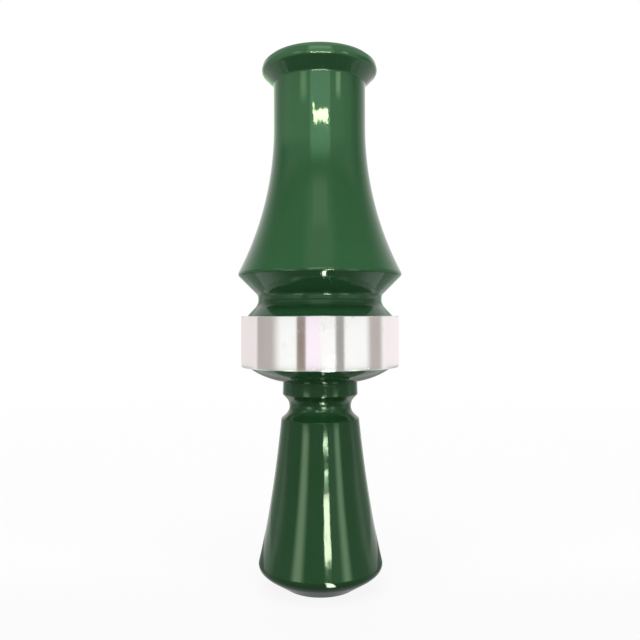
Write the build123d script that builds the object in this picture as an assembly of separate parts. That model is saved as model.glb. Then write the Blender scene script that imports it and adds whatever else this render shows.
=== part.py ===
"""Duck call: a barrel with a metal band, and an insert that holds a tone board, two reeds and a cork wedge.

The call stands on its bell end. Z runs up its axis from the bell end to the mouth, and the reeds face -Y.
Sizes are in millimetres. A turned piece starts as its section, with the radius as x and the height as y.
"""

from build123d import *

import math
import os

# Fits
running_fit = 0.08  # tenon in the socket, on the radius
seal_fit = 0.05  # O-rings in the socket and over their groove, on the radius
seal_side_fit = 0.11  # each side of an O-ring in its groove
cork_fit = 0.05  # cork wedge under the roof of its mortise
reed_gap = 0.02  # under each reed and under the cork
reed_side_fit = 0.15  # each side of the reeds in the mortise
cut_margin = 0.0032  # kept back where two cuts would only touch

# Bores, which the other pieces are fitted to
socket_radius = 7.94  # 5/8 inch bore for the insert
throat_radius = 6.35  # 1/2 inch bore at the mouth
exhaust_radius = 4.4
channel_radius = 3.2

# Insert, from the bell end up
foot_radius = 8.05  # flat ring that the call stands on
foot_round = 0.6
exhaust_round = 0.8
belly_height = 3.2
belly_radius = 12.95
belly_round = 6.0
bell_height = 4.75
bell_radius = 14.58
bell_round = 1.8
stem_height = 38.75
stem_radius = 9.03
bell_slope = 0.24  # radius lost per millimetre of height, at the bell and at the stem
stem_slope = 0.1
insert_groove_radius = 7.15  # at its root
insert_groove_round = 2.7
insert_lower_flank_angle = 48.5  # sides of the groove, from the axis
insert_upper_flank_angle = 45.5
insert_edge_round = 0.3
collar_length = 3.05
collar_radius = 8.78
tenon_length = 17.6
tenon_round = 0.4

# O-rings: 1.78 section, nominal 5/8 inch outside
seal_section = 1.78
lower_seal_height = 4.5  # above the shoulder of the insert
seal_spacing = 7.8

# Barrel, from its lower end up
end_face_width = 1.16  # flat ring outside the socket
dome_height = 3.25
dome_bulge = 0.35
seat_below_band = 0.45
seat_radius = 16.7
band_height = 11.45
band_wall = 1.6
band_edge_round = 0.25
shoulder_step = 0.2  # stop above the band
barrel_groove_radius = 14.2  # at its root
barrel_groove_round = 2.85
barrel_lower_flank_angle = 48.3
barrel_upper_flank_angle = 45.6
rim_radius = 19.02
rim_round = 0.79
body_length = 34.13  # from the rim to the start of the neck
neck_radius = 10.65
neck_length = 10.0
lip_root_round = 1.0
lip_flank_height = 2.85
lip_radius = 13.7
lip_round = 1.5
lip_crown_height = 2.8
lip_crown_radius = 12.3
lip_crown_round = 2.3
mouth_round = 3.0
throat_length = 9.15
throat_taper_angle = 30.0
socket_chamfer = 0.3

# Tone board
base_radius = 5.15
base_length = 12.0
board_clearance = 0.94  # from the board to the socket
mortise_length = 7.0
mortise_floor = 1.5  # end wall behind the reeds
mortise_wall = 1.1
tongue_length = 34.0
tongue_radius = 6.8
tip_round = 5.0
face_offset = 0.6  # flat face from the axis, towards the reeds
fall_angle = 1.8  # how fast the face falls away from the reeds
channel_stop = 5.5  # solid tip past the channel

# Reeds and wedge
reed_thickness = 0.3
heel_gap = 0.3
reed_heel_chamfer = 0.5
long_reed_end_gap = 0.5  # from the tip of the board back to the tip of the reed
short_reed_step = 3.5  # from the tip of the long reed back
short_reed_heel_step = 1.4
reed_tip_round = 4.6
dimple_radius = 0.9
dimple_depth = 0.12
dimple_back = 7.0  # from the tip of the short reed
wedge_heel_gap = 0.5
wedge_out = 1.5  # stands out of the mortise
wedge_relief_angle = 1.95
wedge_nose_round = 0.8


def vee(root_radius, rounding, lower_edge, upper_edge):
    """Radius where the flanks of a V groove would meet, and its length below and above that point.

    The rounding leaves root_radius. Each edge is its radius and its flank's angle from the axis.
    """
    half_opening = math.radians(180 - lower_edge[1] - upper_edge[1]) / 2
    vertex_radius = root_radius - rounding * (1 / math.sin(half_opening) - 1)
    runs = [(radius - vertex_radius) / math.tan(math.radians(angle))
            for radius, angle in (lower_edge, upper_edge)]
    return vertex_radius, *runs


# Grooves, each with the radius of its vertex and the lengths of its two sides
insert_vee = vee(insert_groove_radius, insert_groove_round,
                 (stem_radius, insert_lower_flank_angle), (collar_radius, insert_upper_flank_angle))
stop_radius = seat_radius + shoulder_step
barrel_vee = vee(barrel_groove_radius, barrel_groove_round,
                 (stop_radius, barrel_lower_flank_angle), (rim_radius, barrel_upper_flank_angle))

# Heights up the call
groove_height = stem_height + insert_vee[1]
shoulder_height = groove_height + insert_vee[2] + collar_length
tenon_top = shoulder_height + tenon_length
seal_heights = [shoulder_height + lower_seal_height + n * seal_spacing for n in range(2)]
dome_top = shoulder_height + dome_height
band_bottom = dome_top + seat_below_band
band_top = band_bottom + band_height
mortise_bottom = tenon_top + mortise_floor
clamp_height = mortise_bottom + mortise_length
board_tip = clamp_height + tongue_length
channel_end = board_tip - channel_stop - channel_radius

# Radii and depths that follow
tenon_radius = socket_radius - running_fit
seal_mean_radius = socket_radius - seal_fit - seal_section / 2
seal_groove_radius = seal_mean_radius - seal_section / 2 - seal_fit
seal_groove_width = seal_section + 2 * seal_side_fit
end_face_radius = socket_radius + end_face_width
band_radius = seat_radius + band_wall
board_radius = socket_radius - board_clearance
mortise_radius = board_radius - mortise_wall


def at(radius, height):
    """A point of a section."""
    return Vector(radius, height)


def turned(edges, roundings):
    """Turn a closed section about Z, with each (corner, radius) of roundings rounded first."""
    section = make_face(edges)
    for corner, radius in roundings:
        vertex = section.vertices().sort_by_distance(corner)[0]
        section = fillet(vertex, radius)
    return revolve(Plane.XZ * section, Axis.Z)


def chain(*points):
    """Straight edges through points, in order."""
    return [Line(a, b) for a, b in zip(points, points[1:])]


def make_insert():
    """Bell, lanyard groove, collar and grooved tenon, bored for the exhaust and for the tone board."""
    foot_outer = at(foot_radius, 0)
    foot_inner = at(exhaust_radius, 0)
    belly = at(belly_radius, belly_height)
    bell = at(bell_radius, bell_height)
    stem = at(stem_radius, stem_height)
    third = (stem_height - bell_height) / 3
    bell_control = at(bell_radius - bell_slope * third, bell_height + third)
    stem_control = at(stem_radius + stem_slope * third, stem_height - third)

    groove = at(insert_vee[0], groove_height)
    collar_bottom = at(collar_radius, groove_height + insert_vee[2])
    collar_top = at(collar_radius, shoulder_height)
    tenon_outer = at(tenon_radius, tenon_top)

    tenon_side = [at(tenon_radius, shoulder_height)]
    for height in seal_heights:
        low = height - seal_groove_width / 2
        high = height + seal_groove_width / 2
        tenon_side += [at(tenon_radius, low), at(seal_groove_radius, low)]
        tenon_side += [at(seal_groove_radius, high), at(tenon_radius, high)]

    seat_bottom = tenon_top - base_length
    edges = chain(foot_inner, foot_outer, belly, bell)
    edges.append(Bezier(bell, bell_control, stem_control, stem))
    edges += chain(stem, groove, collar_bottom, collar_top, *tenon_side, tenon_outer,
                   at(base_radius, tenon_top), at(base_radius, seat_bottom),
                   at(exhaust_radius, seat_bottom), foot_inner)
    roundings = [(foot_inner, exhaust_round), (foot_outer, foot_round), (belly, belly_round),
                 (bell, bell_round), (stem, insert_edge_round), (groove, insert_groove_round),
                 (collar_bottom, insert_edge_round), (tenon_outer, tenon_round)]
    return turned(edges, roundings)


def make_seal(height):
    """One O-ring, lying in its groove."""
    ring = Pos(seal_mean_radius, height) * Circle(seal_section / 2)
    return revolve(Plane.XZ * ring, Axis.Z)


def make_barrel():
    """Domed end, band seat, lanyard groove, flared body, neck and mouth lip around the stepped bore."""
    end_face = at(end_face_radius, shoulder_height)
    dome = at(seat_radius, dome_top)
    stop = at(stop_radius, band_top)
    groove = at(barrel_vee[0], band_top + barrel_vee[1])
    rim = at(rim_radius, groove.Y + barrel_vee[2])
    neck = at(neck_radius, rim.Y + body_length)
    lip_root = at(neck_radius, neck.Y + neck_length)
    lip = at(lip_radius, lip_root.Y + lip_flank_height)
    crown = at(lip_crown_radius, lip.Y + lip_crown_height)
    mouth = at(throat_radius, crown.Y)
    throat_bottom = mouth.Y - throat_length
    taper = (socket_radius - throat_radius) / math.tan(math.radians(throat_taper_angle))
    socket_mouth = at(socket_radius, shoulder_height)

    edges = [SagittaArc(dome, end_face, dome_bulge)]
    edges += chain(dome, at(seat_radius, band_top), stop, groove, rim)
    edges.append(TangentArc(neck, rim, tangent=(0, -1)))
    edges += chain(neck, lip_root, lip, crown, mouth, at(throat_radius, throat_bottom),
                   at(socket_radius, throat_bottom - taper), socket_mouth, end_face)
    roundings = [(groove, barrel_groove_round), (rim, rim_round), (lip_root, lip_root_round),
                 (lip, lip_round), (crown, lip_crown_round), (mouth, mouth_round),
                 (socket_mouth, socket_chamfer)]
    return turned(edges, roundings)


def make_band():
    """Plain metal sleeve over the barrel's seat, its outer edges rounded."""
    corners = [at(seat_radius, band_bottom), at(band_radius, band_bottom),
               at(band_radius, band_top), at(seat_radius, band_top)]
    roundings = [(corners[1], band_edge_round), (corners[2], band_edge_round)]
    return turned(chain(*corners, corners[0]), roundings)


def post(radius, bottom, top):
    """A cylinder on the call's axis."""
    return Pos(0, 0, bottom) * Cylinder(radius, top - bottom, align=(Align.CENTER, Align.CENTER, Align.MIN))


def blade(width, bottom, top, tip_rounding, face, thickness):
    """A flat strip with a rounded tip: face is its +Y side, and thickness goes towards -Y."""
    plan = Plane.XZ * Pos(0, (bottom + top) / 2) * Rectangle(width, top - bottom)
    tip_corners = plan.vertices().group_by(Axis.Z)[-1]
    plan = fillet(tip_corners, tip_rounding)
    return Pos(0, face, 0) * extrude(plan, thickness, dir=(0, -1, 0))


def side_cut(points):
    """A prism as wide as the socket, over a closed (y, z) outline."""
    outline = Polyline(*[(0, y, z) for y, z in points], close=True)
    return extrude(make_face(outline), socket_radius, both=True)


def make_tone_board():
    """Round base, collar with the wedge mortise, and a flat-faced tongue with the tone channel."""
    tongue = blade(2 * tongue_radius, tenon_top, board_tip, tip_round, socket_radius, 2 * socket_radius)
    tongue = tongue & post(tongue_radius, tenon_top, board_tip)
    fall = tongue_length * math.tan(math.radians(fall_angle))
    tongue -= side_cut([(-face_offset, clamp_height), (fall - face_offset, board_tip),
                        (-socket_radius, board_tip), (-socket_radius, clamp_height)])
    board = post(base_radius, tenon_top - base_length, tenon_top)
    board += post(board_radius, tenon_top, clamp_height)
    board += tongue

    mortise = post(mortise_radius, mortise_bottom, clamp_height)
    mortise &= side_cut([(-face_offset, mortise_bottom), (-face_offset, clamp_height),
                         (-socket_radius, clamp_height), (-socket_radius, mortise_bottom)])
    channel = post(channel_radius, tenon_top - base_length, channel_end)
    channel += Pos(0, 0, channel_end) * Sphere(channel_radius)
    channel += blade(2 * channel_radius, mortise_bottom, channel_end + channel_radius,
                     channel_radius - cut_margin, 0, face_offset)
    return board - mortise - channel


def reed_stack_face(layer):
    """The +Y side of the reed in that layer, counted from the tone board's face."""
    return -face_offset - reed_gap - layer * (reed_thickness + reed_gap)


def reed_width():
    """As wide as the mortise lets the upper reed be."""
    half_chord = math.sqrt(mortise_radius ** 2 - reed_stack_face(2) ** 2)
    return 2 * (half_chord - reed_side_fit)


def make_long_reed():
    """Lower reed, from the end of the mortise to just short of the tip of the board."""
    strip = blade(reed_width(), mortise_bottom + heel_gap, board_tip - long_reed_end_gap,
                  reed_tip_round, reed_stack_face(0), reed_thickness)
    return cut_heel(strip)


def make_short_reed():
    """Upper reed, with the small pressed dimple that keeps the two from sticking."""
    tip = board_tip - long_reed_end_gap - short_reed_step
    bottom = mortise_bottom + heel_gap + short_reed_heel_step
    strip = blade(reed_width(), bottom, tip, reed_tip_round, reed_stack_face(1), reed_thickness)
    sphere_radius = (dimple_radius ** 2 + dimple_depth ** 2) / (2 * dimple_depth)
    outer_face = reed_stack_face(1) - reed_thickness
    dimple = Pos(0, outer_face + dimple_depth - sphere_radius, tip - dimple_back) * Sphere(sphere_radius)
    return cut_heel(strip) - dimple


def cut_heel(strip):
    """Chamfer the two heel corners of a reed."""
    heel_edges = strip.edges().filter_by(Axis.Y).group_by(Axis.Z)[0]
    return chamfer(heel_edges, reed_heel_chamfer)


def make_cork_wedge():
    """D-shaped wedge: it bears on the upper reed at the mouth of the mortise and thins towards the heel."""
    bottom = mortise_bottom + wedge_heel_gap
    top = clamp_height + wedge_out
    sole = reed_stack_face(2)
    relief = (clamp_height - bottom) * math.tan(math.radians(wedge_relief_angle))
    wedge = post(mortise_radius - cork_fit, bottom, top)
    wedge &= side_cut([(sole - relief, bottom), (sole, clamp_height), (sole, top),
                       (-socket_radius, top), (-socket_radius, bottom)])
    nose = wedge.edges().group_by(Axis.Z)[-1].filter_by(GeomType.CIRCLE)
    return fillet(nose, wedge_nose_round)


parts = {
    "barrel": make_barrel(),
    "band": make_band(),
    "insert": make_insert(),
    "o_ring_lower": make_seal(seal_heights[0]),
    "o_ring_upper": make_seal(seal_heights[1]),
    "tone_board": make_tone_board(),
    "long_reed": make_long_reed(),
    "short_reed": make_short_reed(),
    "cork_wedge": make_cork_wedge(),
}

os.makedirs("parts", exist_ok=True)
for name, shape in parts.items():
    export_step(shape, f"parts/{name}.step")
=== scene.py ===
import math

import bpy
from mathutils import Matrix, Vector


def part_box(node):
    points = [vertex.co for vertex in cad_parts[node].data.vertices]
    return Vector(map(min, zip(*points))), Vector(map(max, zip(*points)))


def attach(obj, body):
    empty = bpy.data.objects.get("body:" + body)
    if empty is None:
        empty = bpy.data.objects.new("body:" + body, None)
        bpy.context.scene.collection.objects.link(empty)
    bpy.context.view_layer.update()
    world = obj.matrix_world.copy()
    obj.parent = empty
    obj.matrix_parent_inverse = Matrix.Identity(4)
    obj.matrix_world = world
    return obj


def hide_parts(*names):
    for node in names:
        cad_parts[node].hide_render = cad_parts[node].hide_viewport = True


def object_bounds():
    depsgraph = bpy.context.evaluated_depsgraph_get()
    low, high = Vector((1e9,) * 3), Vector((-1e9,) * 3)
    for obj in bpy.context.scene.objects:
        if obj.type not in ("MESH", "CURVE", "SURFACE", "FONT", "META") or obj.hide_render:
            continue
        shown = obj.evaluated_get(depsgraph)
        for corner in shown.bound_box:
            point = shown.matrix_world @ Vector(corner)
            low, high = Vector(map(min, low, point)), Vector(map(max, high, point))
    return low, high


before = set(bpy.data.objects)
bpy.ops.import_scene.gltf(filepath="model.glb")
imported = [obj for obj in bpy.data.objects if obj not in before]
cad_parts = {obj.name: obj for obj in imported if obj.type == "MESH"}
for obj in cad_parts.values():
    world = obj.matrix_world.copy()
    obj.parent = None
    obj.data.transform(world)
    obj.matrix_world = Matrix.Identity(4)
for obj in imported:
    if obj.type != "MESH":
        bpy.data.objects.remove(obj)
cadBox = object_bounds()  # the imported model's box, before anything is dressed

mm = 0.001  # outlines are written in millimetres, with the axis of the call as radius 0


# Outlines: closed paths of (radius, height), run anticlockwise, so the material is on the left.

def corner(radius, height, rounding=0.08):  # no turned edge is perfectly sharp
    return {"at": Vector((radius, height)), "rounding": rounding}


def curvePoint(at):
    return {"at": at, "rounding": 0}


def bezierRun(start, startControl, endControl, end, count):  # the curve's inner points
    run = []
    for n in range(1, count):
        t = n / count
        s = 1 - t
        at = start * s ** 3 + 3 * startControl * s * s * t + 3 * endControl * s * t * t + end * t ** 3
        run.append(curvePoint(at))
    return run


def turnedBy(vector, angle):
    c, s = math.cos(angle), math.sin(angle)
    return Vector((vector.x * c - vector.y * s, vector.x * s + vector.y * c))


def arcRun(start, end, bulge, count):  # a positive bulge swells outwards, a negative one hollows
    chord = end - start
    radius = (chord.length ** 2 / 4 + bulge ** 2) / (2 * abs(bulge))
    side = math.copysign(1, bulge)
    outward = Vector((chord.y, -chord.x)).normalized()
    centre = (start + end) / 2 + outward * (bulge - side * radius)
    sweep = 2 * math.asin(chord.length / 2 / radius) * side
    return [curvePoint(centre + turnedBy(start - centre, sweep * n / count)) for n in range(1, count)]


def arcReach(path, n):  # how far corner n's rounding runs along its two sides
    at = path[n]["at"]
    before = (path[n - 1]["at"] - at).normalized()
    after = (path[(n + 1) % len(path)]["at"] - at).normalized()
    return path[n]["rounding"] / math.tan(before.angle(after) / 2)


crowdingMargin = 1.3  # how many times the reach of a rounding is kept free of curve points


def withoutCrowding(path):  # curve points that lie within a neighbouring corner's rounding go
    path = list(path)
    n = 0
    while n < len(path):
        crowded = None
        if path[n]["rounding"]:
            reach = arcReach(path, n) * crowdingMargin
            for other in (n - 1, (n + 1) % len(path)):
                if not path[other]["rounding"] and (path[other]["at"] - path[n]["at"]).length < reach:
                    crowded = other % len(path)
        if crowded is None:
            n += 1
        else:
            path.pop(crowded)
            n = 0
    return path


# Returns pairs of a point and its outward normal. A rounding's facets turn and run no further than these.
def smoothOutline(path, facetTurn=math.radians(6), facetLength=0.3):
    path = withoutCrowding(path)
    outline = []
    for n, item in enumerate(path):
        at = item["at"]
        before = path[n - 1]["at"]
        after = path[(n + 1) % len(path)]["at"]
        if not item["rounding"]:
            along = (after - before).normalized()
            outline.append((at, Vector((along.y, -along.x))))
            continue
        toBefore, toAfter = (before - at).normalized(), (after - at).normalized()
        halfAngle = toBefore.angle(toAfter) / 2
        radius = item["rounding"]
        centre = at + (toBefore + toAfter).normalized() * radius / math.sin(halfAngle)
        start = at + toBefore * radius / math.tan(halfAngle)
        crossed = (at - before).cross(after - at)
        convex = 1 if crossed > 0 else -1
        turn = math.pi - 2 * halfAngle
        steps = max(3, math.ceil(turn / facetTurn), math.ceil(turn * radius / facetLength))
        for k in range(steps + 1):
            spoke = turnedBy(start - centre, convex * turn * k / steps)
            outline.append((centre + spoke, spoke.normalized() * convex))
    return outline


def addObject(name, data):
    made = bpy.data.objects.new(name, data)
    bpy.context.scene.collection.objects.link(made)
    return made


def lathe(name, path, segments):  # turns an outline about the axis, with exact normals
    outline = smoothOutline(path)
    vertices, normals, faces = [], [], []
    for n in range(segments):
        c, s = math.cos(2 * math.pi * n / segments), math.sin(2 * math.pi * n / segments)
        for at, normal in outline:
            vertices.append((at.x * c * mm, at.x * s * mm, at.y * mm))
            normals.append((normal.x * c, normal.x * s, normal.y))
    count = len(outline)
    for n in range(segments):
        here, there = n * count, (n + 1) % segments * count
        for k in range(count):
            after = (k + 1) % count
            faces.append((here + k, there + k, there + after, here + after))
    mesh = bpy.data.meshes.new(name)
    mesh.from_pydata(vertices, [], faces, shade_flat=False)
    mesh.normals_split_custom_set_from_vertices(normals)
    return addObject(name, mesh)


# Node building

def feed(tree, made, inputs):  # an input is a value or the socket that feeds it
    for key, value in (inputs or {}).items():
        if isinstance(value, bpy.types.NodeSocket):
            tree.links.new(value, made.inputs[key])
        else:
            made.inputs[key].default_value = value


def addNode(tree, kind, inputs=None, **settings):
    made = tree.nodes.new("ShaderNode" + kind)
    for key, value in settings.items():
        setattr(made, key, value)
    feed(tree, made, inputs)
    return made


def compute(tree, operation, a, b=0.0, clamp=False):
    return addNode(tree, "Math", {0: a, 1: b}, operation=operation, use_clamp=clamp).outputs[0]


def ramp(tree, value, low, high, lowTo=0.0, highTo=1.0):  # a soft step between two levels
    made = addNode(tree, "MapRange", {"Value": value, "From Min": low, "From Max": high,
                                      "To Min": lowTo, "To Max": highTo}, interpolation_type="SMOOTHSTEP")
    return made.outputs[0]


def blendColour(tree, factor, a, b, blend="MIX"):  # 6, 7 and 2 are the Mix node's colour sockets
    return addNode(tree, "Mix", {0: factor, 6: a, 7: b}, data_type="RGBA", blend_type=blend).outputs[2]


def noise(tree, coordinates, scale, detail=2.0, roughness=0.5, distortion=0.0):
    made = addNode(tree, "TexNoise", {"Vector": coordinates, "Scale": scale, "Detail": detail,
                                      "Roughness": roughness, "Distortion": distortion})
    return made.outputs[0]


def stretched(tree, coordinates, scale, offset=(0.0, 0.0, 0.0)):
    return addNode(tree, "Mapping", {"Vector": coordinates, "Scale": scale, "Location": offset}).outputs[0]


def newGroup(name, inputs, outputs):  # returns the group, its input node and its output node
    group = bpy.data.node_groups.new(name, "ShaderNodeTree")
    for title, kind, value in inputs:
        socket = group.interface.new_socket(title, in_out="INPUT", socket_type="NodeSocket" + kind)
        socket.default_value = value
    for title, kind in outputs:
        group.interface.new_socket(title, in_out="OUTPUT", socket_type="NodeSocket" + kind)
    return group, group.nodes.new("NodeGroupInput"), group.nodes.new("NodeGroupOutput")


def place(tree, group, inputs=None):
    made = tree.nodes.new("ShaderNodeGroup")
    made.node_tree = group
    feed(tree, made, inputs)
    return made.outputs


def objectCoordinates(tree):
    return addNode(tree, "TexCoord").outputs["Object"]


def axisDistance(tree, parts):  # how far a point, given in its parts, is from the axis of the call
    flat = addNode(tree, "CombineXYZ", {0: parts[0], 1: parts[1]}).outputs[0]
    return addNode(tree, "VectorMath", {0: flat}, operation="LENGTH").outputs["Value"]


def weightedSum(tree, start, terms):  # the start, and each term's value times its weight
    total = start
    for value, weight in terms:
        total = compute(tree, "ADD", total, compute(tree, "MULTIPLY", value, weight))
    return total


def emptyTree(owner):  # of a material or a world
    owner.use_nodes = True
    owner.node_tree.nodes.clear()
    return owner.node_tree


# Shared effects, as node groups

def makeCloudGroup():  # slow drift between two shades, as in cast plastic
    inputs = [("Deep", "Color", (0, 0, 0, 1)), ("Pale", "Color", (1, 1, 1, 1)),
              ("Scale", "Float", 60.0), ("Contrast", "Float", 0.5)]
    group, given, out = newGroup("cloudDrift", inputs, [("Color", "Color")])
    coordinates = objectCoordinates(group)
    broad = noise(group, coordinates, given.outputs["Scale"], detail=3, roughness=0.55, distortion=0.6)
    centred = compute(group, "SUBTRACT", broad, 0.5)
    gain = compute(group, "MULTIPLY", given.outputs["Contrast"], 4.0)  # the noise stays near its middle
    spread = compute(group, "MULTIPLY", centred, gain)
    factor = compute(group, "ADD", spread, 0.5, clamp=True)
    mixed = blendColour(group, factor, given.outputs["Deep"], given.outputs["Pale"])
    group.links.new(mixed, out.inputs["Color"])
    return group


def makeWaveGroup():  # the slight waves that polishing leaves, broad and fine
    inputs = [("Broad", "Float", 180.0), ("Fine", "Float", 900.0), ("Fine share", "Float", 0.3)]
    group, given, out = newGroup("polishWaves", inputs, [("Height", "Float")])
    coordinates = objectCoordinates(group)
    broad = noise(group, coordinates, given.outputs["Broad"], detail=1)
    fine = noise(group, coordinates, given.outputs["Fine"], detail=2)
    height = compute(group, "ADD", broad, compute(group, "MULTIPLY", fine, given.outputs["Fine share"]))
    group.links.new(height, out.inputs["Height"])
    return group


def makeLatheLineGroup():  # faint rings round the axis, left by the lathe and the buffing wheel
    inputs = [("Density", "Float", 4000.0), ("Wander", "Float", 0.4)]
    group, given, out = newGroup("latheLines", inputs, [("Lines", "Float")])
    parts = addNode(group, "SeparateXYZ", {0: objectCoordinates(group)}).outputs
    across = compute(group, "MULTIPLY", given.outputs["Wander"], parts[0])
    rings = addNode(group, "CombineXYZ", {0: axisDistance(group, parts), 1: across, 2: parts[2]}).outputs[0]
    lines = noise(group, rings, given.outputs["Density"], detail=4, roughness=0.7)
    group.links.new(lines, out.inputs["Lines"])
    return group


def makeSpeckGroup():  # sparse specks of dust and tiny nicks, different sizes
    inputs = [("Scale", "Float", 250.0), ("Amount", "Float", 0.04), ("Size", "Float", 0.16)]
    group, given, out = newGroup("dustSpecks", inputs, [("Mask", "Float")])
    cells = addNode(group, "TexVoronoi", {"Vector": objectCoordinates(group),
                                          "Scale": given.outputs["Scale"], "Randomness": 1.0})
    pick = addNode(group, "SeparateColor", {0: cells.outputs["Color"]}).outputs
    chosen = compute(group, "LESS_THAN", pick[0], given.outputs["Amount"])
    edge = compute(group, "MULTIPLY", given.outputs["Size"], pick[1])
    spot = compute(group, "LESS_THAN", cells.outputs["Distance"], edge)
    group.links.new(compute(group, "MULTIPLY", chosen, spot), out.inputs["Mask"])
    return group


scuffSettings = {
    "turns": (0.5, 2.1, -0.9), "tilt": 0.7,  # radians; three directions, so that they cross
    "drawnOut": (1.0, 0.18, 1.0),  # less than 1 lengthens the scuffs that way
    "patchScale": 1.7,  # against the scale of the scuffs
    "patchLevel": 0.75, "patchGain": 0.3,  # of the noise, above which scuffs show
}


def makeScuffGroup():  # short hairline scuffs, gathered in patches
    inputs = [("Scale", "Float", 120.0), ("Fineness", "Float", 0.006), ("Amount", "Float", 0.5)]
    group, given, out = newGroup("hairScuffs", inputs, [("Mask", "Float")])
    coordinates = objectCoordinates(group)
    masks = []
    for turn in scuffSettings["turns"]:
        rotation = (turn, turn * scuffSettings["tilt"], turn)
        turned = addNode(group, "Mapping", {"Vector": coordinates, "Rotation": rotation})
        long = stretched(group, turned.outputs[0], scuffSettings["drawnOut"])
        field = noise(group, long, given.outputs["Scale"], detail=2, distortion=0.4)
        ridge = compute(group, "ABSOLUTE", compute(group, "SUBTRACT", field, 0.5))
        masks.append(compute(group, "LESS_THAN", ridge, given.outputs["Fineness"]))
    together = compute(group, "MAXIMUM", compute(group, "MAXIMUM", masks[0], masks[1]), masks[2])
    patchScale = compute(group, "MULTIPLY", given.outputs["Scale"], scuffSettings["patchScale"])
    patches = noise(group, coordinates, patchScale, detail=2)
    lowered = compute(group, "MULTIPLY", given.outputs["Amount"], scuffSettings["patchGain"])
    level = compute(group, "SUBTRACT", scuffSettings["patchLevel"], lowered)
    shown = compute(group, "GREATER_THAN", patches, level)
    group.links.new(compute(group, "MULTIPLY", together, shown), out.inputs["Mask"])
    return group


edgeWearSettings = {
    "turn": (0.995, 0.93),  # cosine between the true and the rounded normal, at no wear and at full wear
    "level": 0.8, "gain": 0.5, "softness": 0.12,  # of the noise, above which the edge is worn
}


def makeEdgeWearGroup():  # where an edge turns within the given radius, broken up by noise
    inputs = [("Radius", "Float", 0.0004), ("Scale", "Float", 700.0), ("Amount", "Float", 0.5)]
    group, given, out = newGroup("edgeWear", inputs, [("Mask", "Float")])
    rounded = addNode(group, "Bevel", {"Radius": given.outputs["Radius"]}, samples=6)
    true = addNode(group, "NewGeometry").outputs["Normal"]
    agreement = addNode(group, "VectorMath", {0: rounded.outputs[0], 1: true}, operation="DOT_PRODUCT")
    turnedAway = ramp(group, agreement.outputs["Value"], *edgeWearSettings["turn"])
    patches = noise(group, objectCoordinates(group), given.outputs["Scale"], detail=3, roughness=0.65)
    lowered = compute(group, "MULTIPLY", given.outputs["Amount"], edgeWearSettings["gain"])
    level = compute(group, "SUBTRACT", edgeWearSettings["level"], lowered)
    broken = ramp(group, patches, level, compute(group, "ADD", level, edgeWearSettings["softness"]))
    group.links.new(compute(group, "MULTIPLY", turnedAway, broken), out.inputs["Mask"])
    return group


# painted shade in grooves and corners, found by ambient occlusion
paintedShadeSettings = {
    "openness": (0.95, 0.65),  # from clear to fully shaded
    "facing": (-0.2, 0.4), "share": (0.3, 1.0),  # less of it on what faces down
}


def makePaintedShadeGroup():  # painted shade: the colour darkens deep in grooves and corners that ambient occlusion finds closed in, more on what faces up
    group, given, out = newGroup("paintedCreviceShade", [("Reach", "Float", 0.005)], [("Mask", "Float")])
    occlusion = addNode(group, "AmbientOcclusion", {"Distance": given.outputs["Reach"]}, samples=8)
    hidden = ramp(group, occlusion.outputs["AO"], *paintedShadeSettings["openness"])
    facing = addNode(group, "SeparateXYZ", {0: addNode(group, "NewGeometry").outputs["Normal"]}).outputs[2]
    shadeByFacing = ramp(group, facing, *paintedShadeSettings["facing"], *paintedShadeSettings["share"])
    group.links.new(compute(group, "MULTIPLY", hidden, shadeByFacing), out.inputs["Mask"])
    return group


cloudDrift = makeCloudGroup()
polishWaves = makeWaveGroup()
latheLines = makeLatheLineGroup()
dustSpecks = makeSpeckGroup()
hairScuffs = makeScuffGroup()
edgeWear = makeEdgeWearGroup()
paintedCreviceShade = makePaintedShadeGroup()
print("shared effects ready")


def newMaterial(name):
    material = bpy.data.materials.new(name)
    tree = emptyTree(material)
    shader = addNode(tree, "BsdfPrincipled")
    addNode(tree, "OutputMaterial", {"Surface": shader.outputs[0]})
    return material, tree, shader


def setBump(tree, shader, height, strength=1.0, distance=1.0):
    bump = addNode(tree, "Bump", {"Strength": strength, "Distance": distance, "Height": height})
    tree.links.new(bump.outputs[0], shader.inputs["Normal"])


def colour(values):
    return (*values, 1.0)


# Camera and studio

cameraSettings = {
    "distance": 0.1588,  # metres from the axis
    "eyeHeight": 0.0615,  # about level with the top of the band
    "lens": 38.25, "sensor": 36.0,  # millimetres
    "roll": 0.14,  # degrees
    "nearest": 0.01, "farthest": 50.0,  # metres that it sees between
}


def makeCamera():
    data = bpy.data.cameras.new("camera")
    data.lens = cameraSettings["lens"]
    data.sensor_width = cameraSettings["sensor"]
    data.clip_start = cameraSettings["nearest"]
    data.clip_end = cameraSettings["farthest"]
    camera = addObject("camera", data)
    camera.location = (0, -cameraSettings["distance"], cameraSettings["eyeHeight"])
    camera.rotation_euler = (math.radians(90), math.radians(cameraSettings["roll"]), 0)
    bpy.context.scene.camera = camera


lampSettings = {  # metres and watts; each lamp faces the middle of the call
    "overheadLamp": {"at": (0.0, -0.35, 0.85), "size": 0.7, "power": 4.1},
    "leftLamp": {"at": (-0.75, -0.6, 0.3), "size": 0.6, "power": 3.4},
    "rightLamp": {"at": (0.75, -0.6, 0.3), "size": 0.6, "power": 3.4},
    "backLamp": {"at": (0.0, 0.8, 0.6), "size": 0.8, "power": 3.0},
}
worldSettings = {"shown": 1.0, "lighting": 0.3}  # what the eye and gloss see, and what lights matt surfaces


def makeLamps():
    middle = (cadBox[0] + cadBox[1]) / 2
    for name, lamp in lampSettings.items():
        data = bpy.data.lights.new(name, "AREA")
        data.size = lamp["size"]
        data.energy = lamp["power"]
        holder = addObject(name, data)
        holder.location = lamp["at"]
        holder.rotation_euler = (middle - holder.location).to_track_quat("-Z", "Y").to_euler()
        holder.visible_glossy = False  # the reflector cards stand for the lamps in the gloss


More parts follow.
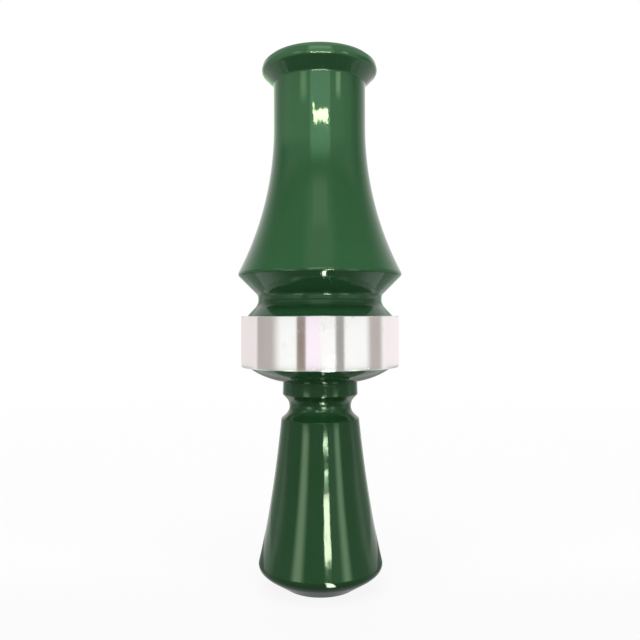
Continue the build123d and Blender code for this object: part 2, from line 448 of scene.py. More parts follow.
def seenDirectly(tree):  # 1 for camera, glossy and transmission rays
    path = addNode(tree, "LightPath").outputs
    seen = compute(tree, "MAXIMUM", path["Is Camera Ray"], path["Is Glossy Ray"])
    return compute(tree, "MAXIMUM", seen, path["Is Transmission Ray"])


def makeWorld():
    world = bpy.data.worlds.new("paleStudio")
    bpy.context.scene.world = world
    tree = emptyTree(world)
    seen = seenDirectly(tree)
    low, high = worldSettings["lighting"], worldSettings["shown"]
    strength = compute(tree, "ADD", low, compute(tree, "MULTIPLY", seen, high - low))
    background = addNode(tree, "Background", {"Color": (1, 1, 1, 1), "Strength": strength})
    addNode(tree, "OutputWorld", {"Surface": background.outputs[0]})


def roundSheet(name, rings, sides):  # a flat disc with its inner rings
    vertices = [(0, 0, 0)]
    for reach in rings:
        for n in range(sides):
            turn = 2 * math.pi * n / sides
            vertices.append((reach * math.cos(turn), reach * math.sin(turn), 0))
    faces = [(0, 1 + n, 1 + (n + 1) % sides) for n in range(sides)]
    for ring in range(len(rings) - 1):
        here, there = 1 + ring * sides, 1 + (ring + 1) * sides
        for n in range(sides):
            after = (n + 1) % sides
            faces.append((here + n, there + n, there + after, here + after))
    mesh = bpy.data.meshes.new(name)
    mesh.from_pydata(vertices, [], faces)
    return addObject(name, mesh)


floorSettings = {
    "rings": (0.05, 0.2, 0.8, 2.0, 4.0), "sides": 64,  # metres
    "drop": 0.1 * mm,  # just under the bell
    "shown": 0.92, "bounced": 0.5,  # paleness to the eye, and to the light that it gives back
    "ownLight": (0.88, 1.0), "fade": (0.08, 0.5),  # share of its own light near the call and far from it
}


def makeFloor():
    floor = roundSheet("floor", floorSettings["rings"], floorSettings["sides"])
    floor.location.z = -floorSettings["drop"]
    material = bpy.data.materials.new("paleFloor")
    tree = emptyTree(material)
    seen = seenDirectly(tree)
    pale, bounced = floorSettings["shown"], floorSettings["bounced"]
    tone = compute(tree, "ADD", bounced, compute(tree, "MULTIPLY", seen, pale - bounced))
    grey = addNode(tree, "CombineColor", {0: tone, 1: tone, 2: tone}).outputs[0]
    matt = addNode(tree, "BsdfDiffuse", {"Color": grey}).outputs[0]
    lit = addNode(tree, "Emission", {"Color": (1, 1, 1, 1), "Strength": 1.0}).outputs[0]
    reach = addNode(tree, "VectorMath", {0: objectCoordinates(tree)}, operation="LENGTH").outputs["Value"]
    own = ramp(tree, reach, *floorSettings["fade"], *floorSettings["ownLight"])
    mixed = addNode(tree, "MixShader", {0: compute(tree, "MULTIPLY", seen, own), 1: matt, 2: lit})
    addNode(tree, "OutputMaterial", {"Surface": mixed.outputs[0]})
    floor.data.materials.append(material)


# Reflector cards: curved panels round the call that only its gloss sees. "away" is how far a card stands
# from the axis, in metres, and "topAway" how far its top edge does if it leans or lies flat. "turn" is in
# degrees from straight ahead, positive to the right. "angles" are degrees above the eye's level, "heights"
# are metres. "soft" is how far the edges fade, across in degrees and up in the unit of the card's own rise,
# and "ragged" is noise across and up, and how deep it bites into the edges in the same units as "soft".
cardSettings = {
    # the room
    "roomFront": {"away": 2.0, "turn": (-145, 145), "angles": (1.0, 72), "shade": (0.29, 0.34, 0.29),
                  "soft": (48, 0.2)},
    "roomNeck": {"away": 1.98, "turn": (-100, 100), "angles": (12, 32), "shade": (0.68, 0.8, 0.68),
                 "soft": (26, 6)},
    # beside the neck
    "neckRoom": {"away": 0.0304, "turn": (-112, 82), "heights": (0.1076, 0.1295), "shade": (1.1, 1.45, 1.08),
                 "soft": (50, 0.003)},
    "neckEdgeLeft": {"away": 0.0306, "turn": (-165, -120), "heights": (0.1076, 0.1295),
                     "shade": (0.9, 1.25, 0.88), "soft": (10, 0.003)},
    "neckPane": {"away": 0.0302, "turn": (-20, 23), "heights": (0.1066, 0.1295), "shade": (2.3, 3.15, 2.7),
                 "soft": (3, 0.003)},
    "neckStripLeft": {"away": 0.03, "turn": (-43, -22), "heights": (0.1145, 0.1265),
                      "shade": (3.1, 3.9, 2.75), "soft": (9, 0.004)},
    "neckStripRight": {"away": 0.03, "turn": (31.5, 46), "heights": (0.1155, 0.1265),
                       "shade": (4.4, 5.3, 4.0), "soft": (5, 0.004)},
    # window panes, far off
    "paneFront": {"away": 1.87, "turn": (-20, 23), "angles": (16, 31), "shade": (1.3, 1.8, 1.6),
                  "soft": (3, 5)},
    "paneTop": {"away": 1.88, "turn": (-40, 40), "angles": (27, 66), "shade": (0.92, 0.76, 0.78),
                "soft": (25, 12)},
    "paneMiddle": {"away": 1.86, "turn": (-19, 21), "angles": (32, 49), "shade": (1.45, 1.35, 1.4),
                   "soft": (8, 5)},
    # above the lip
    "lipRoom": {"away": 0.0303, "turn": (-110, 110), "heights": (0.1305, 0.152), "shade": (1.0, 1.05, 0.95),
                "soft": (30, 0.002)},
    "lipPane": {"away": 0.0301, "turn": (-20, 22), "heights": (0.1305, 0.148), "shade": (3.1, 3.9, 3.0),
                "soft": (3, 0.003)},
    "lipBehind": {"away": 0.04, "turn": (110, 250), "heights": (0.14, 0.24), "shade": (0.35, 0.45, 0.35),
                  "soft": (20, 0.01)},
    # round the groove and the bell
    "flankLeft": {"away": 0.03, "topAway": 0.06, "turn": (-160, -70), "heights": (0.0633, 0.0634),
                  "shade": (0.2, 0.29, 0.21), "soft": (16, 0.00002)},
    "flankRight": {"away": 0.03, "topAway": 0.06, "turn": (70, 160), "heights": (0.0633, 0.0634),
                   "shade": (0.22, 0.36, 0.26), "soft": (16, 0.00002)},
    "lampGuard": {"away": 0.042, "topAway": 0.078, "turn": (-60, 62), "heights": (0.075, 0.0751),
                  "shade": (0.2, 0.26, 0.2), "soft": (2, 0.00001)},
    "glintLow": {"away": 0.2, "turn": (-16, 18), "heights": (0.004, 0.026), "shade": (11, 11.5, 10.5),
                 "soft": (4, 0.004)},
    "grooveLeft": {"away": 0.03, "turn": (-172, -104), "heights": (0.0632, 0.0716),
                   "shade": (0.45, 0.56, 0.46), "soft": (10, 0.001)},
    "grooveRight": {"away": 0.03, "turn": (104, 172), "heights": (0.0632, 0.0716),
                    "shade": (0.5, 0.68, 0.56), "soft": (10, 0.001)},
    # bright lines along the rim and the groove
    "glintHigh": {"away": 1.84, "turn": (-20, 20), "angles": (12, 16), "shade": (26, 27, 24),
                  "soft": (6, 1.5)},
    "glintHighLeft": {"away": 1.84, "turn": (-68, -46), "angles": (12, 16), "shade": (8, 9, 8),
                      "soft": (6, 1.5)},
    "glintHighRight": {"away": 1.84, "turn": (34, 52), "angles": (12, 16), "shade": (8, 9, 8),
                       "soft": (6, 1.5)},
    # the lamp in the neck, in two patches
    "lampNeck": {"away": 0.0298, "turn": (-15, 21), "heights": (0.1109, 0.1136), "shade": (48, 48, 31),
                 "soft": (0.6, 0.0001), "ragged": (6.0, 3.0, 5.0, 0.0006)},
    "lampNeckSpur": {"away": 0.0299, "turn": (-15, -9), "heights": (0.1128, 0.1160), "shade": (48, 48, 31),
                     "soft": (1.5, 0.0008), "ragged": (2.0, 3.0, 2.5, 0.0006)},
    # round the insert: room, strips of window and lamps
    "insertRoom": {"away": 0.1, "turn": (-100, 100), "heights": (0.0, 0.0452), "shade": (0.40, 0.46, 0.40),
                   "soft": (26, 0.0005)},
    "insertFarLeft": {"away": 0.101, "turn": (-155, -92), "heights": (0.0, 0.0452),
                      "shade": (0.48, 0.55, 0.48), "soft": (20, 0.0005)},
    "insertFarRight": {"away": 0.101, "turn": (92, 155), "heights": (0.0, 0.0452),
                       "shade": (0.44, 0.51, 0.44), "soft": (20, 0.0005)},
    "insertStripLeft": {"away": 0.099, "turn": (-54, -25), "heights": (0.002, 0.0425),
                        "shade": (4.2, 4.4, 3.6), "soft": (13, 0.003)},
    "insertStripRight": {"away": 0.099, "turn": (33, 57), "heights": (0.002, 0.0425),
                         "shade": (3.8, 4.3, 3.5), "soft": (11, 0.003)},
    "insertPane": {"away": 0.0995, "turn": (18, 44), "heights": (0.002, 0.0425), "shade": (0.75, 0.82, 0.75),
                   "soft": (7, 0.003)},
    "lampTop": {"away": 0.098, "turn": (6, 21), "heights": (0.0352, 0.0404), "shade": (32, 32, 28),
                "soft": (1.0, 0.0012), "ragged": (3.0, 9.0, 2.0, 0.0008)},
    "lampMiddle": {"away": 0.098, "turn": (8, 20), "heights": (0.0303, 0.0326), "shade": (34, 36, 30),
                   "soft": (1.0, 0.0004), "ragged": (3.0, 5.0, 3.0, 0.0005)},
    "lampFaint": {"away": 0.098, "turn": (8, 19), "heights": (0.0282, 0.0308), "shade": (5, 6.5, 5.5),
                  "soft": (2.0, 0.0006)},
    "lampLow": {"away": 0.098, "turn": (5.5, 20.5), "heights": (0.0153, 0.0278), "shade": (34, 31, 27),
                "soft": (1.0, 0.0003), "ragged": (3.0, 14.0, 2.5, 0.0008)},
    "lampFoot": {"away": 0.098, "turn": (5, 18), "heights": (-0.003, 0.0098), "shade": (46, 42, 38),
                 "soft": (1.0, 0.0006), "ragged": (3.0, 3.0, 3.0, 0.001)},
    # flat on the floor, for the underside of the bell
    "lampFloor": {"away": 0.0158, "topAway": 0.045, "turn": (6, 18), "heights": (0.0003, 0.0004),
                  "shade": (40, 38, 34), "soft": (2.5, 0.00001)},
    "floorBehind": {"away": 0.02, "topAway": 0.4, "turn": (150, 210), "heights": (0.0, 0.0001),
                    "shade": (0.42, 0.40, 0.38), "soft": (12, 0.00002)},
    "floorClose": {"away": 0.019, "topAway": 0.05, "turn": (85, 275), "heights": (0.0001, 0.0002),
                   "shade": (0.25, 0.27, 0.24), "soft": (12, 0.00002)},
    # low panels that the band shows as stripes
    "gapLeft": {"away": 0.6, "topAway": 2.0, "turn": (-34, -18.5), "heights": (0.0005, 0.093),
                "shade": (0.29, 0.23, 0.20), "soft": (3, 0.001)},
    "gapRight": {"away": 0.6, "topAway": 2.0, "turn": (19.5, 35.5), "heights": (0.0005, 0.093),
                 "shade": (0.36, 0.35, 0.34), "soft": (4, 0.001)},
    "lowFront": {"away": 0.62, "topAway": 2.02, "turn": (-24, 4), "heights": (0.0005, 0.093),
                 "shade": (1.04, 0.92, 1.02), "soft": (6, 0.001)},
    "lowLeft": {"away": 0.61, "topAway": 2.01, "turn": (-104, -74), "heights": (0.0005, 0.093),
                "shade": (0.46, 0.42, 0.40), "soft": (7, 0.001)},
    "lowLeftFade": {"away": 0.608, "topAway": 2.008, "turn": (-96, -54), "heights": (0.0005, 0.093),
                    "shade": (0.48, 0.44, 0.42), "soft": (20, 0.001)},
    "lowRight": {"away": 0.61, "topAway": 2.01, "turn": (65, 104), "heights": (0.0005, 0.093),
                 "shade": (0.50, 0.45, 0.43), "soft": (13, 0.001)},
    "lowFarLeft": {"away": 0.62, "topAway": 2.02, "turn": (-180, -98), "heights": (0.0005, 0.093),
                   "shade": (0.86, 0.78, 0.79), "soft": (8, 0.001)},
    "lowFarRight": {"away": 0.62, "topAway": 2.02, "turn": (98, 180), "heights": (0.0005, 0.093),
                    "shade": (0.96, 0.88, 0.90), "soft": (8, 0.001)},
}
cardFacet = 3  # degrees that one facet of a card spans at most
raggedRange = (0.35, 0.65)  # of the noise, from no bite to a full one
raggedShift = 5.0  # sets the noise of the two directions apart


def glowMaterial(name, shade):  # returns the material, its tree and the factor that clears its edges
    material = bpy.data.materials.new(name)
    material.cycles.emission_sampling = "NONE"
    tree = emptyTree(material)
    glow = addNode(tree, "Emission", {"Color": colour(shade), "Strength": 1.0})
    clear = addNode(tree, "BsdfTransparent")
    mixed = addNode(tree, "MixShader", {1: clear.outputs[0], 2: glow.outputs[0]})
    addNode(tree, "OutputMaterial", {"Surface": mixed.outputs[0]})
    return material, tree, mixed.inputs[0]


def showOnlyInGloss(holder):
    holder.visible_camera = False
    holder.visible_diffuse = False
    holder.visible_shadow = False


def cardPoint(card, across, up):
    first, last = card["turn"]
    turn = math.radians(first + (last - first) * across)
    away = card["away"] + (card.get("topAway", card["away"]) - card["away"]) * up
    low, high = card.get("heights") or card["angles"]
    height = low + (high - low) * up
    if "angles" in card:
        height = cameraSettings["eyeHeight"] + away * math.tan(math.radians(height))
    return (away * math.sin(turn), -away * math.cos(turn), height)


def makeCard(name, card):
    wide = card["turn"][1] - card["turn"][0]
    low, high = card.get("heights") or card["angles"]
    columns = max(4, math.ceil(wide / cardFacet))
    rows = max(2, math.ceil((high - low) / cardFacet)) if "angles" in card else 4
    vertices, faces, places = [], [], []
    for row in range(rows + 1):
        for column in range(columns + 1):
            across, up = column / columns, row / rows
            vertices.append(cardPoint(card, across, up))
            places.append((across, up))
    for row in range(rows):
        for column in range(columns):
            first = row * (columns + 1) + column
            faces.append((first, first + 1, first + columns + 2, first + columns + 1))
    mesh = bpy.data.meshes.new(name)
    mesh.from_pydata(vertices, [], faces)
    layer = mesh.uv_layers.new(name="across")
    for loop in mesh.loops:
        layer.data[loop.index].uv = places[loop.vertex_index]
    showOnlyInGloss(addObject(name, mesh))
    material, tree, factor = glowMaterial(name + "Light", card["shade"])
    flat = addNode(tree, "UVMap", uv_map="across").outputs[0]
    spot = addNode(tree, "SeparateXYZ", {0: flat}).outputs
    masks = []
    for way, length in ((0, wide), (1, high - low)):
        edge = compute(tree, "MINIMUM", spot[way], compute(tree, "SUBTRACT", 1.0, spot[way]))
        edge = compute(tree, "MULTIPLY", edge, length)
        if "ragged" in card:
            scales, bites = card["ragged"][:2], card["ragged"][2:]
            shifted = stretched(tree, flat, (*scales, 1.0), (way * raggedShift, 0.0, 0.0))
            field = noise(tree, shifted, 1.0, detail=3)
            bite = ramp(tree, field, *raggedRange, 0.0, bites[way])
            edge = compute(tree, "SUBTRACT", edge, bite)
        masks.append(ramp(tree, edge, 0.0, card["soft"][way]))
    tree.links.new(compute(tree, "MULTIPLY", *masks), factor)
    mesh.materials.append(material)


matSettings = {  # metres; the mat dims the floor in front of the call
    "radius": 0.24, "sides": 96, "soft": 0.05, "shade": (0.2, 0.2, 0.2),
    "ends": (-0.02, 0.02),  # from here to there along Y it fades out
    "drop": 0.05 * mm,  # between the floor and the bell
}


def makeMat():  # a dim round patch of floor that gloss and bounced light see, but the eye doesn't
    reach = matSettings["radius"]
    mat = roundSheet("dimMat", [reach], matSettings["sides"])
    mat.location.z = -matSettings["drop"]
    showOnlyInGloss(mat)
    mat.visible_diffuse = True
    material, tree, factor = glowMaterial("dimMatLight", matSettings["shade"])
    coordinates = objectCoordinates(tree)
    away = addNode(tree, "VectorMath", {0: coordinates}, operation="LENGTH").outputs["Value"]
    depth = addNode(tree, "SeparateXYZ", {0: coordinates}).outputs[1]
    inFront = ramp(tree, depth, *matSettings["ends"], 1.0, 0.0)
    inside = ramp(tree, away, reach, reach - matSettings["soft"])
    tree.links.new(compute(tree, "MULTIPLY", inside, inFront), factor)
    mat.data.materials.append(material)


def makeStudio():
    makeCamera()
    makeLamps()
    makeWorld()
    makeFloor()
    for name, card in cardSettings.items():
        makeCard(name, card)
    makeMat()
    bpy.context.scene.view_settings.view_transform = "Standard"


makeStudio()
print("studio ready")


# Turned acrylic: barrel and insert

def makeAcrylic(name, look):
    material, tree, shader = newMaterial(name)
    clouds = place(tree, cloudDrift, {"Deep": colour(look["deep"]), "Pale": colour(look["pale"]),
                                      "Scale": look["cloudScale"], "Contrast": look["cloudContrast"]})
    worn = place(tree, edgeWear, {"Radius": look["wearRadius"], "Amount": look["wear"]})["Mask"]
    dust = place(tree, dustSpecks, {"Scale": look["speckScale"], "Amount": look["speckAmount"]})["Mask"]
    scuffs = place(tree, hairScuffs, {"Amount": look["scuffs"]})["Mask"]
    lines = place(tree, latheLines, {"Density": look["lineDensity"]})["Lines"]
    waves = place(tree, polishWaves)["Height"]
    paled = compute(tree, "MULTIPLY", worn, look["wornShare"])
    base = blendColour(tree, paled, clouds["Color"], colour(look["worn"]))
    base = blendColour(tree, compute(tree, "MULTIPLY", dust, look["speckShare"]), base, colour(look["speck"]))
    # painted shade: the base colour is darkened in grooves and corners
    if look["paintedShade"]:
        paintedShade = place(tree, paintedCreviceShade, {"Reach": look["paintedShadeReach"]})["Mask"]
        darker = blendColour(tree, 1.0, base, colour([1 - look["paintedShade"]] * 3), "MULTIPLY")
        base = blendColour(tree, paintedShade, base, darker)
    tree.links.new(base, shader.inputs["Base Color"])
    parts = addNode(tree, "SeparateXYZ", {0: objectCoordinates(tree)}).outputs
    dulled = ramp(tree, axisDistance(tree, parts), *look["dullReach"], 1.0, 0.0)
    rough = weightedSum(tree, look["roughness"], [
        (lines, look["lineRoughness"]), (scuffs, look["scuffRoughness"]), (worn, look["wornRoughness"]),
        (dulled, look["dullness"]), (dust, look["speckRoughness"])])
    tree.links.new(rough, shader.inputs["Roughness"])
    height = weightedSum(tree, 0.0, [(waves, look["waveHeight"]), (lines, look["lineHeight"]),
                                     (dust, look["speckHeight"]), (scuffs, -look["scuffDepth"])])
    setBump(tree, shader, height)
    shader.inputs["IOR"].default_value = look["ior"]
    shader.inputs["Specular Tint"].default_value = colour(look["glossTint"])
    return material


acrylicLook = {  # heights and reaches in metres
    "deep": (0.022, 0.092, 0.033), "pale": (0.029, 0.107, 0.040), "cloudScale": 45.0, "cloudContrast": 0.5,
    "worn": (0.10, 0.22, 0.13), "wornShare": 0.5, "wornRoughness": 0.15, "wearRadius": 0.0004, "wear": 0.35,
    "speck": (0.35, 0.42, 0.36), "speckShare": 0.6, "speckRoughness": 0.35,
    "speckScale": 260.0, "speckAmount": 0.03, "speckHeight": 3e-5,
    "scuffs": 0.4, "scuffRoughness": 0.12, "scuffDepth": 1e-6,
    "roughness": 0.04, "lineDensity": 3500.0, "lineRoughness": 0.05, "lineHeight": 4e-7,
    "dullReach": (0.0072, 0.0086), "dullness": 0.14,  # inside this radius the buffing wheel doesn't reach
    # painted shade: how much the base colour darkens in grooves, and how far the occlusion reaches
    "waveHeight": 1.6e-5, "paintedShade": 0.8, "paintedShadeReach": 0.007,
    "ior": 1.45, "glossTint": (0.75, 1.0, 0.78),
}
# painted shade: the insert gets the barrel's acrylic made darker, as if shaded by the barrel above, without
# the crevice shade
shadedAcrylicLook = dict(acrylicLook, deep=(0.012, 0.056, 0.018), pale=(0.018, 0.067, 0.024), paintedShade=0.0)
barrelAcrylic = makeAcrylic("barrelAcrylic", acrylicLook)
shadedInsertAcrylic = makeAcrylic("shadedInsertAcrylic", shadedAcrylicLook)

lowOf = {node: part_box(node)[0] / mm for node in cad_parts}  # corners in millimetres
highOf = {node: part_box(node)[1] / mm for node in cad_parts}

barrelSizes = {  # millimetres, and degrees for the angle
    "socketRadius": 7.94, "socketRound": 0.3, "endFaceRadius": 9.1, "domeHeight": 3.25, "domeBulge": 0.5,
    "seatRadius": 16.7, "stopRadius": 16.9, "stopRound": 0.05,
    "grooveRadius": 14.28, "grooveRise": 2.83, "grooveRound": 2.54,
    "flankRadius": 14.36, "flankRise": 4.85, "flankRound": 1.1,
    "rimRadius": 19.13, "rimRise": 9.6, "rimRound": 0.79,
    "bodyLength": 34.34, "neckRadius": 10.65, "neckLength": 9.84,
    "lipRootRound": 0.89, "lipRise": 2.8, "lipRadius": 13.5, "lipRound": 1.35,
    "brimRise": 4.45, "brimRadius": 13.11, "brimRound": 1.06, "crownRadius": 11.55, "crownRound": 2.47,
    "mouthRound": 3.0, "throatRadius": 6.35, "throatLength": 9.15, "taperAngle": 30.0,
    "domeSteps": 16, "flareSteps": 72, "segments": 320,
}
bandSizes = {  # millimetres
    "lowerTop": 0.2, "skirt": 0.35,  # how much lower it sits, at its top and at its bottom
    "edgeRound": 0.15, "innerRound": 0.05, "segments": 320,
}


def makeBarrel():
    size = barrelSizes
    bottom = lowOf["barrel"].z
    bandTop = highOf["band"].z - bandSizes["lowerTop"]
    endFace = Vector((size["endFaceRadius"], bottom))
    dome = Vector((size["seatRadius"], bottom + size["domeHeight"]))
    rim = Vector((size["rimRadius"], bandTop + size["rimRise"]))
    neck = Vector((size["neckRadius"], rim.y + size["bodyLength"]))
    lipRoot = neck.y + size["neckLength"]
    crown = highOf["barrel"].z
    throatBottom = crown - size["throatLength"]
    taper = (size["socketRadius"] - size["throatRadius"]) / math.tan(math.radians(size["taperAngle"]))
    chord = neck - rim
    flareRadius = chord.length_squared / (2 * abs(chord.x))  # the flare is an arc, upright at the neck
    flareBulge = flareRadius - math.sqrt(flareRadius ** 2 - chord.length_squared / 4)
    path = [corner(size["socketRadius"], bottom, size["socketRound"]), corner(*endFace)]
    path += arcRun(endFace, dome, size["domeBulge"], size["domeSteps"])
    path += [corner(*dome), corner(size["seatRadius"], bandTop, size["stopRound"]),
             corner(size["stopRadius"], bandTop, size["stopRound"]),
             corner(size["grooveRadius"], bandTop + size["grooveRise"], size["grooveRound"]),
             corner(size["flankRadius"], bandTop + size["flankRise"], size["flankRound"]),
             corner(*rim, size["rimRound"])]
    path += arcRun(rim, neck, -flareBulge, size["flareSteps"])
    path += [curvePoint(neck), corner(size["neckRadius"], lipRoot, size["lipRootRound"]),
             corner(size["lipRadius"], lipRoot + size["lipRise"], size["lipRound"]),
             corner(size["brimRadius"], lipRoot + size["brimRise"], size["brimRound"]),
             corner(size["crownRadius"], crown, size["crownRound"]),
             corner(size["throatRadius"], crown, size["mouthRound"]),
             corner(size["throatRadius"], throatBottom), corner(size["socketRadius"], throatBottom - taper)]
    barrel = lathe("turnedBarrel", path, size["segments"])
    barrel.data.materials.append(barrelAcrylic)
    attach(barrel, "barrel")
    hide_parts("barrel")


insertSizes = {  # millimetres
    "exhaustRadius": 4.4, "exhaustRound": 0.8, "footRadius": 8.31, "footRound": 0.61,
    "bellyHeight": 3.17, "bellyRadius": 13.16, "bellyRound": 6.0,
    "bellHeight": 4.59, "bellRadius": 14.555, "bellRound": 1.82,
    "stemHeight": 38.75, "stemRadius": 9.03, "edgeRound": 0.3,
    "bellSlope": 0.24, "stemSlope": 0.1,  # radius lost per millimetre of height, at the bell and at the stem
    "grooveHeight": 41.527, "grooveRadius": 5.891, "grooveRound": 2.7,
    "collarBottom": 44.366, "collarRadius": 8.76, "collarRound": 0.5,
    "collarTopRadius": 8.66, "shoulderRound": 0.1, "tenonRadius": 7.86, "tenonRound": 0.4,
    "sealGrooveRadius": 6.06, "sealGrooveWidth": 2.0, "seatRadius": 5.15,
    "stemSteps": 72, "segments": 256,
}


def makeInsert():
    size = insertSizes
    shoulder = lowOf["barrel"].z
    tenonTop = highOf["insert"].z
    seatBottom = lowOf["tone_board"].z
    bell = Vector((size["bellRadius"], size["bellHeight"]))
    stem = Vector((size["stemRadius"], size["stemHeight"]))
    third = (stem.y - bell.y) / 3
    bellControl = bell + Vector((-size["bellSlope"], 1)) * third
    stemControl = stem + Vector((size["stemSlope"], -1)) * third
    path = [corner(size["exhaustRadius"], 0, size["exhaustRound"]),
            corner(size["footRadius"], 0, size["footRound"]),
            corner(size["bellyRadius"], size["bellyHeight"], size["bellyRound"]),
            corner(*bell, size["bellRound"])]
    path += bezierRun(bell, bellControl, stemControl, stem, size["stemSteps"])
    path += [corner(*stem, size["edgeRound"]),
             corner(size["grooveRadius"], size["grooveHeight"], size["grooveRound"]),
             corner(size["collarRadius"], size["collarBottom"], size["collarRound"]),
             corner(size["collarTopRadius"], shoulder, size["shoulderRound"]),
             corner(size["tenonRadius"], shoulder)]
    for seal in ("o_ring_lower", "o_ring_upper"):
        middle = (lowOf[seal].z + highOf[seal].z) / 2
        below, above = middle - size["sealGrooveWidth"] / 2, middle + size["sealGrooveWidth"] / 2
        path += [corner(size["tenonRadius"], below), corner(size["sealGrooveRadius"], below),
                 corner(size["sealGrooveRadius"], above), corner(size["tenonRadius"], above)]
    path += [corner(size["tenonRadius"], tenonTop, size["tenonRound"]), corner(size["seatRadius"], tenonTop),
             corner(size["seatRadius"], seatBottom), corner(size["exhaustRadius"], seatBottom)]
    insert = lathe("turnedInsert", path, size["segments"])
    insert.data.materials.append(shadedInsertAcrylic)
    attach(insert, "insert")
    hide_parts("insert")


makeBarrel()
makeInsert()
print("barrel and insert turned")


bandLook = {
    "colour": (0.98, 0.975, 0.97), "roughness": 0.07, "anisotropy": 0.3,
    "lineColour": (0.72, 0.71, 0.70), "lineShare": 0.12, "lineDensity": 6000.0,
    "lineRoughness": 0.05, "lineHeight": 4e-7,
    "scuffScale": 200.0, "scuffs": 0.5, "scuffRoughness": 0.1,
}


def makePolishedMetal(name, look):
    material, tree, shader = newMaterial(name)
    lines = place(tree, latheLines, {"Density": look["lineDensity"]})["Lines"]
    scuffs = place(tree, hairScuffs, {"Scale": look["scuffScale"], "Amount": look["scuffs"]})["Mask"]
    greyed = compute(tree, "MULTIPLY", lines, look["lineShare"])
    base = blendColour(tree, greyed, colour(look["colour"]), colour(look["lineColour"]))
    tree.links.new(base, shader.inputs["Base Color"])
    rough = weightedSum(tree, look["roughness"], [(lines, look["lineRoughness"]),
                                                  (scuffs, look["scuffRoughness"])])
    tree.links.new(rough, shader.inputs["Roughness"])
    setBump(tree, shader, compute(tree, "MULTIPLY", lines, look["lineHeight"]))
    shader.inputs["Metallic"].default_value = 1.0
    shader.inputs["Anisotropic"].default_value = look["anisotropy"]
    tangent = addNode(tree, "Tangent", direction_type="RADIAL", axis="Z")
    tree.links.new(tangent.outputs[0], shader.inputs["Tangent"])
    return material


def makeBand():
    size = bandSizes
    inner, outer = barrelSizes["seatRadius"], highOf["band"].x
    bottom, top = lowOf["band"].z - size["skirt"], highOf["band"].z - size["lowerTop"]
    path = [corner(inner, bottom, size["innerRound"]), corner(outer, bottom, size["edgeRound"]),
            corner(outer, top, size["edgeRound"]), corner(inner, top, size["innerRound"])]
    band = lathe("polishedSleeve", path, size["segments"])
    band.data.materials.append(makePolishedMetal("polishedBand", bandLook))
    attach(band, "barrel")
    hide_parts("band")


makeBand()
print("band made")


# Inner works

grainRange = (0.3, 0.7)  # where most of a noise's values lie


def dressNode(node, material):
    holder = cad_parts[node]
    holder.data.materials.clear()
    holder.data.materials.append(material)


rubberLook = {
    "dark": (0.012, 0.012, 0.013), "pale": (0.028, 0.028, 0.03), "grainScale": 2500.0,
    "dust": (0.2, 0.2, 0.19), "dustScale": 900.0, "dustAmount": 0.12, "dustShare": 0.5,
    "roughness": (0.38, 0.55), "bumpStrength": 0.6, "bumpHeight": 1e-5,
}


def makeRubber():
    look = rubberLook
    material, tree, shader = newMaterial("sealRubber")
    grain = noise(tree, objectCoordinates(tree), look["grainScale"], detail=3)
    dust = place(tree, dustSpecks, {"Scale": look["dustScale"], "Amount": look["dustAmount"]})["Mask"]
    base = blendColour(tree, grain, colour(look["dark"]), colour(look["pale"]))
    base = blendColour(tree, compute(tree, "MULTIPLY", dust, look["dustShare"]), base, colour(look["dust"]))
    tree.links.new(base, shader.inputs["Base Color"])
    tree.links.new(ramp(tree, grain, *grainRange, *look["roughness"]), shader.inputs["Roughness"])
    setBump(tree, shader, grain, look["bumpStrength"], look["bumpHeight"])
    return material


boardLook = {
    "dark": (0.014, 0.014, 0.015), "pale": (0.026, 0.026, 0.027), "grainScale": 1400.0,
    "worn": (0.10, 0.10, 0.10), "wornShare": 0.6, "wearRadius": 0.0003, "wear": 0.8,
    "scuffScale": 180.0, "scuffs": 0.9, "scuffRoughness": 0.15,
    "roughness": (0.26, 0.38), "bumpStrength": 0.7, "bumpHeight": 1.2e-5,
}


def makeBoardPlastic():
    look = boardLook
    material, tree, shader = newMaterial("boardPlastic")
    grain = noise(tree, objectCoordinates(tree), look["grainScale"], detail=4, roughness=0.6)
    scuffs = place(tree, hairScuffs, {"Scale": look["scuffScale"], "Amount": look["scuffs"]})["Mask"]
    worn = place(tree, edgeWear, {"Radius": look["wearRadius"], "Amount": look["wear"]})["Mask"]
    base = blendColour(tree, grain, colour(look["dark"]), colour(look["pale"]))
    base = blendColour(tree, compute(tree, "MULTIPLY", worn, look["wornShare"]), base, colour(look["worn"]))
    tree.links.new(base, shader.inputs["Base Color"])
    rough = ramp(tree, grain, *grainRange, *look["roughness"])
    rough = weightedSum(tree, rough, [(scuffs, look["scuffRoughness"])])
    tree.links.new(rough, shader.inputs["Roughness"])
    setBump(tree, shader, grain, look["bumpStrength"], look["bumpHeight"])
    return material


filmLook = {
    "clear": (0.62, 0.66, 0.63), "milky": (0.74, 0.77, 0.74), "hazeScale": 300.0,
    "scuffScale": 260.0, "scuffs": 0.8, "scuffRoughness": 0.2,
    "roughness": (0.16, 0.26), "transmission": 0.55, "ior": 1.5,
}


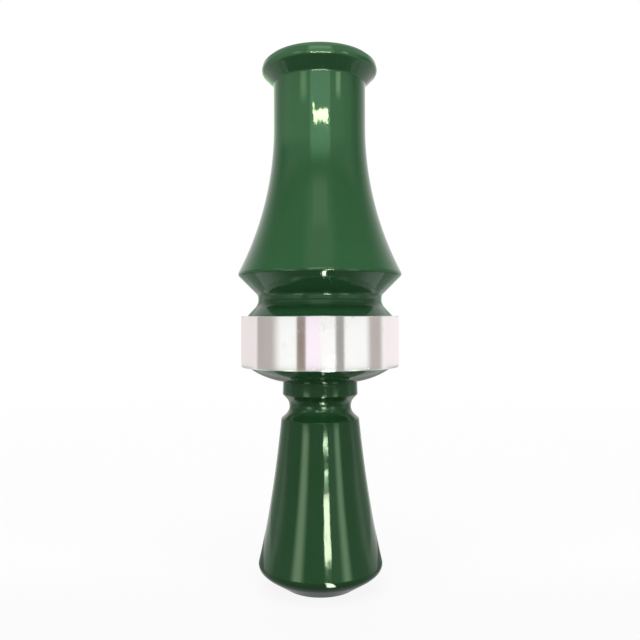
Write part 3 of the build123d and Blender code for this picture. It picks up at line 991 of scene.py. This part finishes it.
def makeReedFilm():
    look = filmLook
    material, tree, shader = newMaterial("reedFilm")
    haze = noise(tree, objectCoordinates(tree), look["hazeScale"], detail=3)
    scuffs = place(tree, hairScuffs, {"Scale": look["scuffScale"], "Amount": look["scuffs"]})["Mask"]
    base = blendColour(tree, haze, colour(look["clear"]), colour(look["milky"]))
    tree.links.new(base, shader.inputs["Base Color"])
    rough = ramp(tree, haze, *grainRange, *look["roughness"])
    rough = weightedSum(tree, rough, [(scuffs, look["scuffRoughness"])])
    tree.links.new(rough, shader.inputs["Roughness"])
    shader.inputs["Transmission Weight"].default_value = look["transmission"]
    shader.inputs["IOR"].default_value = look["ior"]
    return material


corkLook = {
    "dark": (0.36, 0.20, 0.095), "pale": (0.56, 0.36, 0.19), "granuleScale": 900.0,
    "seam": (0.16, 0.08, 0.035), "seamWidth": 0.09,  # as a share of a granule
    "pit": (0.09, 0.045, 0.02), "pitScale": 1300.0, "pitAmount": 0.12, "pitSize": 0.4, "pitDepth": 1.5,
    "roughness": 0.85, "bumpStrength": 0.9, "bumpHeight": 6e-5,
}


def makeCork():
    look = corkLook
    material, tree, shader = newMaterial("corkGranules")
    granules = {"Vector": objectCoordinates(tree), "Scale": look["granuleScale"], "Randomness": 1.0}
    cells = addNode(tree, "TexVoronoi", granules)
    edges = addNode(tree, "TexVoronoi", granules, feature="DISTANCE_TO_EDGE")
    shade = addNode(tree, "SeparateColor", {0: cells.outputs["Color"]}).outputs[0]
    base = blendColour(tree, shade, colour(look["dark"]), colour(look["pale"]))
    seam = ramp(tree, edges.outputs["Distance"], 0.0, look["seamWidth"])
    base = blendColour(tree, seam, colour(look["seam"]), base)
    pits = place(tree, dustSpecks, {"Scale": look["pitScale"], "Amount": look["pitAmount"],
                                    "Size": look["pitSize"]})["Mask"]
    base = blendColour(tree, pits, base, colour(look["pit"]))
    tree.links.new(base, shader.inputs["Base Color"])
    shader.inputs["Roughness"].default_value = look["roughness"]
    height = weightedSum(tree, seam, [(pits, -look["pitDepth"])])
    setBump(tree, shader, height, look["bumpStrength"], look["bumpHeight"])
    return material


rubber = makeRubber()
for seal in ("o_ring_lower", "o_ring_upper"):
    dressNode(seal, rubber)
dressNode("tone_board", makeBoardPlastic())
film = makeReedFilm()
for reed in ("long_reed", "short_reed"):
    dressNode(reed, film)
dressNode("cork_wedge", makeCork())
print("inner works dressed")
